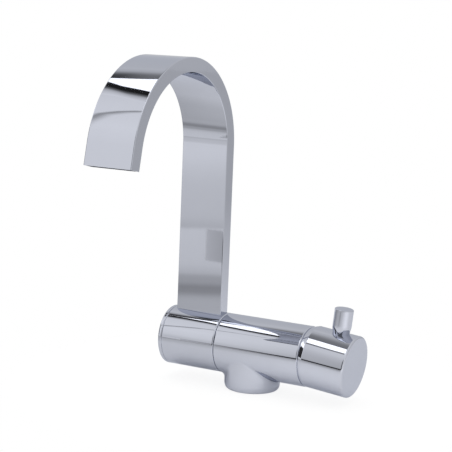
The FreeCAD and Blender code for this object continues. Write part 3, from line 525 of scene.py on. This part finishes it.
class Finish(NodeWork):
    """A material under construction."""

    def __init__(self, name):
        self.material = bpy.data.materials.new(name)
        self.material.use_nodes = True
        super().__init__(self.material.node_tree)
        self.shader = self.tree.nodes["Principled BSDF"]
        self.place = self.node("ShaderNodeTexCoord", {}, {}, "Object")

    def noise(self, scale, detail=2.0, roughness=0.5, stretch=(1, 1, 1)):
        """Noise on object coordinates, from 0 to 1."""
        place = self.node("ShaderNodeMapping", {}, {"Vector": self.place, "Scale": stretch})
        return self.node("ShaderNodeTexNoise", {}, {
            "Vector": place, "Scale": scale, "Detail": detail, "Roughness": roughness}, "Fac")

    def away(self, centre):
        """Distance from a point, on object coordinates."""
        return self.node("ShaderNodeVectorMath", {"operation": "DISTANCE"}, {
            0: self.place, 1: centre}, "Value")

    def bump(self, height, strength, distance):
        """A surface normal from a height."""
        return self.node("ShaderNodeBump", {}, {"Height": height, "Strength": strength, "Distance": distance})

    def set(self, **values):
        """Set or link the shader's sockets. Underscores in a name stand for spaces."""
        for key, value in values.items():
            socket = self.shader.inputs[key.replace("_", " ")]
            if isinstance(value, Socket):
                self.tree.links.new(value.link, socket)
            else:
                socket.default_value = value
        return self.material


def grey(tone):
    """A colour without hue."""
    return (tone, tone, tone)


def shade(colour, factor):
    """A colour scaled by a factor."""
    return tuple(channel * factor for channel in colour)


def polished_chrome(name):
    """Bright plating with faint wipe marks and the soft waviness of hand polishing."""
    settings = bpy.context.scene.tap_finish
    finish = Finish(name)
    colour = tuple(settings.chrome_colour)
    smear = finish.noise(22, detail=4, roughness=0.6, stretch=(1, 1, 0.4))
    haze = finish.noise(140, detail=3, roughness=0.55)
    wave = finish.noise(30, detail=1, roughness=0.4)
    smear_spread, haze_spread = 0.02, 0.012
    smoothest = settings.chrome_roughness - (smear_spread + haze_spread) / 2
    return finish.set(
        Base_Color=finish.tint(smear * 0.6 + haze * 0.4, shade(colour, 0.97), shade(colour, 1.03)),
        Metallic=1.0, Roughness=smear * smear_spread + haze * haze_spread + smoothest,
        Normal=finish.bump(wave, strength=0.05, distance=0.4 * MM), Specular_Tint=CHROME_EDGE)


def turned_brass(name):
    """Unplated brass with fine tool rings round the body axis."""
    colour = tuple(bpy.context.scene.tap_finish.brass_colour)
    finish = Finish(name)
    rings = finish.noise(60, detail=2, roughness=0.6, stretch=(60, 1, 1))
    stain = finish.noise(90, detail=4, roughness=0.6)
    return finish.set(
        Base_Color=finish.tint(stain, shade(colour, 0.72), colour), Metallic=1.0,
        Roughness=rings * 0.2 + stain * 0.1 + 0.2,
        Normal=finish.bump(rings, strength=0.15, distance=0.05 * MM))


def machined_steel(name):
    """Stainless steel with a fine machined grain."""
    finish = Finish(name)
    grain = finish.noise(80, detail=3, roughness=0.6, stretch=(40, 1, 1))
    return finish.set(
        Base_Color=finish.tint(grain, *STEEL_COLOURS), Metallic=1.0,
        Roughness=grain * 0.2 + 0.25, Normal=finish.bump(grain, strength=0.12, distance=0.04 * MM))


def seal_rubber(name):
    """Matt black rubber with a faint grain."""
    colour = tuple(bpy.context.scene.tap_finish.rubber_colour)
    finish = Finish(name)
    grain = finish.noise(900, detail=3, roughness=0.6)
    bloom = finish.noise(70, detail=3, roughness=0.6)
    return finish.set(
        Base_Color=finish.tint(bloom, colour, shade(colour, 2.2)),
        Roughness=grain * 0.25 + 0.55, Normal=finish.bump(grain, strength=0.3, distance=0.03 * MM))


def moulded_plastic(name, colour):
    """Moulded plastic with a fine spark-eroded grain."""
    finish = Finish(name)
    grain = finish.noise(1300)
    cloud = finish.noise(45, detail=3)
    return finish.set(
        Base_Color=finish.tint(cloud, shade(colour, 0.9), colour),
        Roughness=grain * 0.2 + 0.38, Normal=finish.bump(grain, strength=0.2, distance=0.02 * MM))


def lapped_ceramic(name):
    """Dense white ceramic, lapped smooth, with faint speckle."""
    finish = Finish(name)
    speckle = finish.noise(700, roughness=0.6)
    return finish.set(
        Base_Color=finish.tint(speckle, *CERAMIC_COLOURS),
        Roughness=speckle * 0.1 + 0.16, Coat_Weight=0.2)


def finish_for(slot):
    """The material for a slot of the record, made once."""
    outlet_colour = tuple(bpy.context.scene.tap_finish.plastic_colour)
    name, make = {
        "chrome": ("Polished chrome", polished_chrome),
        "brass": ("Turned brass", turned_brass),
        "steel": ("Machined steel", machined_steel),
        "seal_rubber": ("Seal rubber", seal_rubber),
        "ceramic": ("Lapped ceramic", lapped_ceramic),
        "cartridge_plastic": ("Cartridge plastic", lambda name: moulded_plastic(name, CARTRIDGE_COLOUR)),
        "slide_plastic": ("Outlet plastic", lambda name: moulded_plastic(name, outlet_colour)),
    }[slot]
    return bpy.data.materials.get(name) or make(name)


def coat(obj, slot):
    """Give a piece the finish of a material slot."""
    obj.data.materials.clear()
    obj.data.materials.append(finish_for(slot))


def fit_piece(obj, body, node):
    """Finish a chrome piece that stands for a CAD node and moves with a body."""
    coat(obj, "chrome")
    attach(obj, body)
    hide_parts(node)


class TAP_OT_barrel(bpy.types.Operator):
    """Turn the body's barrel, with its chamber and the concave mouth for the handle"""

    bl_idname = "tap.barrel"
    bl_label = "Barrel"

    def execute(self, context):
        shape = context.scene.tap_shape
        radius, edge = shape.barrel_radius / MM, shape.edge_round / MM
        left, right = CASTING[0].x / MM, CASTING[1].x / MM
        hub_floor, hub_radius = left + HUB_BORE[0], HUB_BORE[1]
        outline = corner_rounded([
            (hub_floor, 0, 0), (hub_floor, hub_radius, 0), (left, hub_radius, 0), (left, radius, edge),
            (right, radius, 0)])[:-1]
        outline.append((right - edge - SUPPORT, radius))
        for k in range(MOUTH_EDGE_STEPS + 1):
            turn = MOUTH_EDGE_TURN * k / MOUTH_EDGE_STEPS
            outline.append((right - edge + edge * math.sin(turn), radius - edge + edge * math.cos(turn)))
        seat = sphere_run(PIVOT_STATION, BALL_SEAT_RADIUS, right - BALL_SEAT_INSET, MOUTH_FLOOR)
        outline += [point for point in seat if point[1] < outline[-1][1]]
        (step, wide), (floor, narrow) = CHAMBER
        outline += [(MOUTH_FLOOR, wide), (step, wide), (step, narrow), (floor, narrow), (floor, 0)]
        fit_piece(raise_to_axis(lathe("body_barrel", outline)), "body", "body_casting")
        return {"FINISHED"}


class TAP_OT_base(bpy.types.Operator):
    """Turn the round base and blend its wall into the barrel"""

    bl_idname = "tap.base"
    bl_label = "Base"

    def execute(self, context):
        shape = context.scene.tap_shape
        radius, blend = shape.base_radius / MM, shape.base_blend / MM
        barrel = shape.barrel_radius / MM
        depth, inner, outer = GASKET_GROOVE
        foot = [(0, 0), (0, inner), (depth, inner), (depth, outer), (0, outer)]
        wide, tall = BASE_EDGE
        for k in range(BASE_EDGE_STEPS + 1):
            turn = math.pi / 2 * k / BASE_EDGE_STEPS
            foot.append((tall - tall * math.cos(turn), radius - wide + wide * math.sin(turn)))
        base = lathe("body_base", foot, "Z")
        bpy.ops.object.mode_set(mode="EDIT")
        bpy.ops.mesh.select_mode(type="VERT")
        bpy.ops.mesh.select_all(action="DESELECT")
        mesh = bmesh.from_edit_mesh(base.data)
        for vertex in mesh.verts:
            vertex.select_set(vertex.is_boundary)
        mesh.select_flush_mode()
        bmesh.update_edit_mesh(base.data)

        def blend_point(place, share):
            """A point of the rolling-ball blend above one place of the wall."""
            turn = math.atan2(place.y, place.x)
            reach = radius + blend
            side = reach * math.sin(turn)
            drop = math.sqrt((barrel + blend) ** 2 - side ** 2)
            centre = Vector((reach * math.cos(turn), side, AXIS_HEIGHT - drop))
            to_wall = Vector((-math.cos(turn), -math.sin(turn), 0))
            to_barrel = Vector((0, -side, drop)).normalized()
            return (centre + to_wall.slerp(to_barrel, share) * blend) * MM

        for k in range(BLEND_STEPS + 1):
            bpy.ops.mesh.extrude_edges_move(TRANSFORM_OT_translate={"value": (0, 0, 0)})
            set_selected(base, lambda place, share=k / BLEND_STEPS: blend_point(place, share))
        share, height = BASE_CLOSE
        bpy.ops.mesh.extrude_edges_move(TRANSFORM_OT_translate={"value": (0, 0, 0)})
        set_selected(base, lambda place: Vector((place.x * share, place.y * share, height * MM)))
        bpy.ops.mesh.edge_face_add()
        bpy.ops.mesh.select_all(action="SELECT")
        bpy.ops.mesh.normals_make_consistent(inside=False)
        bpy.ops.object.mode_set(mode="OBJECT")
        carve(base, *[
            drill(size, (x, y, -PORT_OVERSHOOT), deep + PORT_OVERSHOOT) for size, x, y, deep in BASE_PORTS])
        fit_piece(settle(base), "body", "body_casting")
        return {"FINISHED"}


class TAP_OT_collar(bpy.types.Operator):
    """Turn the collar that carries the spout"""

    bl_idname = "tap.collar"
    bl_label = "Collar"

    def execute(self, context):
        shape = context.scene.tap_shape
        radius, edge = shape.barrel_radius / MM, shape.edge_round / MM
        left, right = COLLAR[0].x / MM, COLLAR[1].x / MM
        ring = corner_rounded([
            (HUB_END, COLLAR_BORE, 0), (right, COLLAR_BORE, 0), (right, radius, edge),
            (left, radius, CAP_SEAM_EDGE), (left, CAP_BORE, 0), (HUB_END, CAP_BORE, 0),
            (HUB_END, COLLAR_BORE, 0)])
        fit_piece(raise_to_axis(lathe("collar_sleeve", ring)), "spout", "spout_collar")
        return {"FINISHED"}


class TAP_OT_cap(bpy.types.Operator):
    """Turn the thin end cap"""

    bl_idname = "tap.cap"
    bl_label = "End cap"

    def execute(self, context):
        radius = context.scene.tap_shape.barrel_radius / MM
        left = CAP[0].x / MM
        face = left + CAP_THICKNESS
        reach, outer, inner = CAP_SPIGOT
        disc = corner_rounded([
            (left, 0, 0), (left, radius, CAP_EDGE), (face, radius, CAP_SEAM_EDGE), (face, outer, 0),
            (face + reach, outer, 0), (face + reach, inner, 0), (face, inner, 0), (face, 0, 0)])
        fit_piece(raise_to_axis(lathe("cap_disc", disc)), "spout", "end_cap")
        return {"FINISHED"}


class TAP_OT_band(bpy.types.Operator):
    """Bend the flat spout from a rounded section"""

    bl_idname = "tap.band"
    bl_label = "Spout band"

    def execute(self, context):
        shape = context.scene.tap_shape
        thickness, edge = shape.band_thickness, shape.band_edge
        width = BAND[1].x - BAND[0].x
        middle = (BAND[1].x + BAND[0].x) / 2
        foot = Vector((middle, 0, BAND[0].z))
        pick_none()
        bpy.ops.mesh.primitive_plane_add(size=1, location=foot)
        band = bpy.context.object
        band.name = band.data.name = "spout_band_bent"
        bpy.ops.object.mode_set(mode="EDIT")
        bpy.ops.transform.resize(value=(width, thickness, 1))
        bpy.ops.mesh.select_all(action="SELECT")
        bpy.ops.mesh.bevel(offset=edge, offset_type="OFFSET", segments=BAND_EDGE_STEPS, affect="VERTICES")
        for side in (-1, 1):
            for across, size in ((Vector((side, 0, 0)), width), (Vector((0, side, 0)), thickness)):
                bpy.ops.mesh.select_all(action="SELECT")
                place = foot + across * (size / 2 - edge - BAND_SUPPORT * MM)
                bpy.ops.mesh.bisect(plane_co=place, plane_no=across)
        riser_top = (AXIS_HEIGHT + RISER_HEIGHT) * MM
        first, second = BEND_RADIUS * MM, OUTLET_BEND_RADIUS * MM
        bpy.ops.mesh.select_all(action="SELECT")
        bpy.ops.mesh.extrude_region_move(TRANSFORM_OT_translate={"value": (0, 0, riser_top - foot.z)})
        bends = ((math.pi / 2, riser_top), (math.pi / 2 - OUTLET_SLANT, riser_top + first - second))
        for steps, (angle, height) in zip(BEND_STEPS, bends):
            bpy.ops.mesh.spin(steps=steps, angle=angle, center=(middle, -first, height), axis=(-1, 0, 0))
        outwards = Vector((0, -math.sin(OUTLET_SLANT), -math.cos(OUTLET_SLANT)))
        bpy.ops.mesh.extrude_region_move(TRANSFORM_OT_translate={"value": outwards * OUTLET_LEG * MM})
        open_outlet(band, outwards, edge, shape.band_wall)
        bpy.ops.mesh.select_all(action="SELECT")
        bpy.ops.mesh.normals_make_consistent(inside=False)
        bpy.ops.object.mode_set(mode="OBJECT")
        fit_piece(settle(band), "spout", "spout_band")
        return {"FINISHED"}


def open_outlet(band, outwards, edge, wall):
    """Sink the selected end of the band, so that its wall shows round the outlet, and ease the rim."""
    bpy.ops.mesh.dissolve_faces()
    bpy.ops.mesh.inset(thickness=edge, depth=0)
    bpy.ops.mesh.remove_doubles(threshold=MERGE_DISTANCE * MM)
    bpy.ops.mesh.dissolve_limited(angle_limit=FLAT_ANGLE)
    bpy.ops.mesh.inset(thickness=wall - edge, depth=0)
    bpy.ops.mesh.extrude_region_move(TRANSFORM_OT_translate={"value": -outwards * OUTLET_DEPTH * MM})
    end = max(vertex.co.dot(outwards) for vertex in bmesh.from_edit_mesh(band.data).verts)
    select_faces(band, lambda centre: centre.dot(outwards) > end - END_TOLERANCE * MM)
    bpy.ops.mesh.region_to_loop()
    bpy.ops.mesh.bevel(offset=OUTLET_RIM * MM, segments=OUTLET_RIM_STEPS, affect="EDGES")


class TAP_OT_handle(bpy.types.Operator):
    """Turn the round handle with its ball-shaped skirt and tilt it on its pivot"""

    bl_idname = "tap.handle"
    bl_label = "Handle"

    def execute(self, context):
        shape = context.scene.tap_shape
        radius, edge = shape.handle_radius / MM, shape.handle_edge / MM
        rim = -math.sqrt(BALL_RADIUS ** 2 - radius ** 2)
        (boss_face, boss), (bore_floor, bore) = HANDLE_BOSS, HANDLE_BORE
        outline = [
            (boss_face, 0), (boss_face, boss), (bore_floor, boss), (bore_floor, bore), (BORE_MOUTH, bore)]
        outline += sphere_run(0, BALL_RADIUS - BALL_WALL, BORE_MOUTH, -SKIRT_DEPTH)
        outline += sphere_run(0, BALL_RADIUS, -SKIRT_DEPTH, rim)
        outline.append((rim + SUPPORT, radius))
        outline += corner_rounded([
            (rim + RIM_SUPPORT, radius, 0), (HANDLE_END, radius, edge), (HANDLE_END, 0, 0)])
        handle = lathe("handle_cup", outline)
        pick_none()
        depth, width, middle = STEM_SOCKET
        bpy.ops.mesh.primitive_cube_add(size=width * MM, location=(middle * MM, 0, 0))
        socket = bpy.context.object
        bpy.ops.transform.resize(value=(depth / width, 1, 1))
        carve(handle, socket, *[
            drill(size, (PIN_OFFSET, 0, start), deep) for size, start, deep in (GRUB_ACCESS, GRUB_THREAD)])
        tilt_handle(handle)
        fit_piece(settle(handle), "handle", "handle")
        return {"FINISHED"}


def tilt_handle(obj):
    """Move a piece made on the X axis about the origin to the handle's pivot and its closed tilt."""
    turn = Matrix.Rotation(HANDLE_TILT, 4, "Y")
    pivot = Vector((PIVOT_STATION, 0, AXIS_HEIGHT)) * MM
    obj.matrix_world = Matrix.Translation(pivot) @ turn @ obj.matrix_world


class TAP_OT_pin(bpy.types.Operator):
    """Turn the lever pin that stands on the handle"""

    bl_idname = "tap.pin"
    bl_label = "Lever pin"

    def execute(self, context):
        shape = context.scene.tap_shape
        radius, foot = shape.pin_radius / MM, shape.pin_foot / MM
        crest = shape.handle_radius / MM
        bottom, top = crest - PIN_SUNK, crest + PIN_HEIGHT
        outline = corner_rounded([
            (bottom, 0, 0), (bottom, foot, 0), (crest + PIN_WAIST_TOP, radius, PIN_WAIST_ROUND),
            (top, radius, PIN_EDGE), (top, 0, 0)])
        pin = lathe("lever_pin_turned", outline, "Z", PIN_STEPS)
        pick(pin)
        bpy.ops.transform.translate(value=(PIN_OFFSET * MM, 0, 0))
        bpy.ops.object.transform_apply(location=True, rotation=True, scale=True)
        tilt_handle(pin)
        fit_piece(settle(pin), "handle", "lever_pin")
        return {"FINISHED"}


class TAP_OT_inner(bpy.types.Operator):
    """Give the inner parts their finishes"""

    bl_idname = "tap.inner"
    bl_label = "Inner parts"

    def execute(self, context):
        slots = {entry["node"]: entry["material_slot"] for entry in frame["record"]["subparts"]}
        for name, obj in frame["nodes"].items():
            coat(obj, slots[name])
        return {"FINISHED"}


class TAP_OT_stage(bpy.types.Operator):
    """Set up the floor, the lights and the camera"""

    bl_idname = "tap.stage"
    bl_label = "Studio"

    def execute(self, context):
        studio = context.scene.tap_studio
        context.scene.view_settings.view_transform = "Standard"
        light_surroundings()
        lay_floor(studio.floor_glow)
        hang_softbox(studio.softbox_strength)
        lamp = bpy.data.lights.new("Key lamp", "AREA")
        lamp.shape, lamp.size, lamp.energy = "DISK", KEY_SIZE, studio.key_energy
        key = bpy.data.objects.new("Key lamp", lamp)
        key.location = KEY_PLACE
        key.visible_glossy = False
        context.scene.collection.objects.link(key)
        place_camera()
        return {"FINISHED"}


def light_surroundings():
    """Surround the tap with a tent that the camera sees as plain white.

    Reflections see it pale, brightest in front on the left, and dark over the horizon on the camera's side.
    """
    world = bpy.data.worlds.new("Studio tent")
    bpy.context.scene.world = world
    world.use_nodes = True
    work = NodeWork(world.node_tree)
    direction = work.node("ShaderNodeTexCoord", {}, {}, "Generated")
    aside, across, height = (
        work.node("ShaderNodeSeparateXYZ", {}, {"Vector": direction}, axis) for axis in ("X", "Y", "Z"))
    level = height * 0.5 + 0.5
    front = work.ramp(level, TENT_FRONT_LEFT)
    front = work.tint(work.remap(aside, *LEFT_TO_RIGHT), front, work.ramp(level, TENT_FRONT_RIGHT))
    front = work.tint(work.remap(aside, *RIGHT_TO_CAMERA_SIDE), front, work.ramp(level, TENT_CAMERA_SIDE))
    front = work.tint(work.remap(aside, *CAMERA_SIDE_TO_WHITE), front, WHITE)
    tent = work.tint(work.remap(across, *BACK_TO_FRONT), work.ramp(level, TENT_BACK), front)
    seen = work.node("ShaderNodeLightPath", {}, {}, "Is Camera Ray")
    background = world.node_tree.nodes["Background"]
    world.node_tree.links.new(work.tint(seen, tent, WHITE).link, background.inputs["Color"])


def lay_floor(glow):
    """Lay the white floor. Part of its white is its own glow, so that only a soft shadow is left on it.

    Reflections see other tones, painted light and shade, and further out or from below the camera sees
    through it.
    """
    pick_none()
    bpy.ops.mesh.primitive_plane_add(size=FLOOR_SIZE, location=(0, 0, 0))
    floor = bpy.context.object
    floor.name = "floor"
    finish = Finish("White floor")
    paper = finish.noise(900)
    mirrored = finish.node("ShaderNodeLightPath", {}, {}, "Is Glossy Ray")
    forwards = finish.node("ShaderNodeVectorMath", {"operation": "DOT_PRODUCT"}, {
        0: finish.place, 1: FLOOR_TOWARDS}, "Value")
    # The ramp paints light and shade on the floor by the distance towards the front left, for reflections
    # only.
    tones = [((distance + FLOOR_SPAN) / (2 * FLOOR_SPAN), tone) for distance, tone in FLOOR_REFLECTED_SHADING]
    tone = finish.ramp(finish.node("ShaderNodeMapRange", {}, {
        "Value": forwards, "From Min": -FLOOR_SPAN, "From Max": FLOOR_SPAN}, "Result"), tones)
    # Pools of painted shade and glints of painted light on the floor, seen only in reflections.
    for centre, radius, share in FLOOR_SHADE_POOLS:
        tone = finish.tint(finish.remap(finish.away(centre), radius, 0.0) * share, tone, BLACK)
    shine = sum(
        finish.remap(finish.away(centre), radius, 0.0) * light for centre, radius, light in FLOOR_GLINTS)
    plain = finish.tint(paper, *[grey(tone) for tone in FLOOR_PLAIN])
    open_share = finish.remap(finish.away((0, 0, 0)), *BASIN_EDGE) * (1 - mirrored)
    below = finish.node("ShaderNodeNewGeometry", {}, {}, "Backfacing")
    # Reflections see the painted light and shade of the tones and pools and the painted glow of the glints;
    # the camera sees the paper and its own glow.
    finish.set(
        Alpha=(1 - open_share) * (1 - below),
        Base_Color=finish.tint(mirrored, plain, tone), Roughness=1.0, Specular_IOR_Level=0.0,
        Emission_Color=finish.tint(mirrored, grey(glow), shine), Emission_Strength=1.0)
    floor.data.materials.append(finish.material)


def hang_softbox(strength):
    """Hang the softbox, on a card whose dark frame fades into the tent, and the tent's seam and sheets."""
    rows = []
    for station, front, back, dark, pale, spread in CARD_ROWS:
        row = [(front - CARD_FRAME_START - away, dark + (CARD_FRONT_TONE - dark) * share)
               for away, share in CARD_FADE_FRONT]
        row += [(front + CARD_LIGHT_INSET, strength), (back - CARD_LIGHT_INSET, strength)]
        row += [(back + CARD_FRAME_START + away * spread, pale + (CARD_BACK_TONE - pale) * share)
                for away, share in CARD_FADE_BACK]
        rows.append([(station, place, CARD_HEIGHT, glow) for place, glow in row])
    card("softbox", rows)
    side_x, side_y = SEAM_SIDE
    card("tent_seam", [
        [(x + side_x * shift, y + side_y * shift, SEAM_HEIGHT, glow) for shift, glow in SEAM_TONES]
        for x, y in TENT_SEAM])
    for name, heights, points in TENT_SHEETS:
        card(name, [[(x, y, height, glow) for height in heights] for x, y, glow in points])


def card(name, rows):
    """A sheet of the studio from rows of (x, y, z, glow) points. Only reflections see it."""
    pick_none()
    bpy.ops.mesh.primitive_grid_add(x_subdivisions=len(rows[0]) - 1, y_subdivisions=len(rows) - 1, size=1)
    sheet = bpy.context.object
    sheet.name = name
    glows = sheet.data.attributes.new("glow", "FLOAT", "POINT")
    for i, point in enumerate(point for row in rows for point in row):
        sheet.data.vertices[i].co = point[:3]
        glows.data[i].value = point[3]
    finish = Finish(name)
    glow = finish.node("ShaderNodeAttribute", {"attribute_name": "glow"}, {}, "Fac")
    finish.set(
        Base_Color=(*BLACK, 1), Specular_IOR_Level=0.0,
        Emission_Color=finish.tint(glow * (1 / GLOW_LIMIT), BLACK, grey(GLOW_LIMIT)), Emission_Strength=1.0)
    sheet.data.materials.append(finish.material)
    sheet.visible_camera = sheet.visible_shadow = sheet.visible_diffuse = False


def place_camera():
    """Stand the camera where the photograph was taken from."""
    data = bpy.data.cameras.new("Camera")
    camera = bpy.data.objects.new("Camera", data)
    bpy.context.scene.collection.objects.link(camera)
    azimuth, elevation, roll = (math.radians(angle) for angle in CAMERA_ANGLES)
    back = Vector((math.sin(azimuth) * math.cos(elevation), -math.cos(azimuth) * math.cos(elevation),
                   math.sin(elevation)))
    right = (-back).cross(Vector((0, 0, 1))).normalized()
    up = right.cross(-back)
    turned_right = right * math.cos(roll) + up * math.sin(roll)
    turned_up = up * math.cos(roll) - right * math.sin(roll)
    place = (Vector(CAMERA_TARGET) + back * CAMERA_DISTANCE) * MM
    camera.matrix_world = Matrix.Translation(place) @ Matrix(
        (turned_right, turned_up, back)).transposed().to_4x4()
    data.sensor_width = CAMERA_SENSOR
    data.lens = CAMERA_LENS
    data.clip_start, data.clip_end = CAMERA_CLIP
    bpy.context.scene.camera = camera


class TAP_PT_panel(bpy.types.Panel):
    """The steps that dress the tap"""

    bl_idname = "TAP_PT_panel"
    bl_label = "Fold-down tap"
    bl_space_type = "VIEW_3D"
    bl_region_type = "UI"
    bl_category = "Tap"

    def draw(self, context):
        for operator in STEPS:
            self.layout.operator(operator.bl_idname)
        for settings in (context.scene.tap_shape, context.scene.tap_finish, context.scene.tap_studio):
            for name in settings.__annotations__:
                self.layout.prop(settings, name)


STEPS = (TAP_OT_inner, TAP_OT_barrel, TAP_OT_base, TAP_OT_collar, TAP_OT_cap, TAP_OT_band, TAP_OT_handle,
         TAP_OT_pin, TAP_OT_stage)
CLASSES = (ShapeSettings, FinishSettings, StudioSettings, *STEPS, TAP_PT_panel)


def register():
    """Add the settings, the steps and the panel."""
    for item in CLASSES:
        bpy.utils.register_class(item)
    bpy.types.Scene.tap_shape = bpy.props.PointerProperty(type=ShapeSettings)
    bpy.types.Scene.tap_finish = bpy.props.PointerProperty(type=FinishSettings)
    bpy.types.Scene.tap_studio = bpy.props.PointerProperty(type=StudioSettings)


def unregister():
    """Remove what register added."""
    del bpy.types.Scene.tap_shape, bpy.types.Scene.tap_finish, bpy.types.Scene.tap_studio
    for item in reversed(CLASSES):
        bpy.utils.unregister_class(item)


def main():
    """Dress the tap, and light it."""
    register()
    for step in STEPS:
        group, name = step.bl_idname.split(".")
        getattr(getattr(bpy.ops, group), name)()


if __name__ == "__main__":
    main()
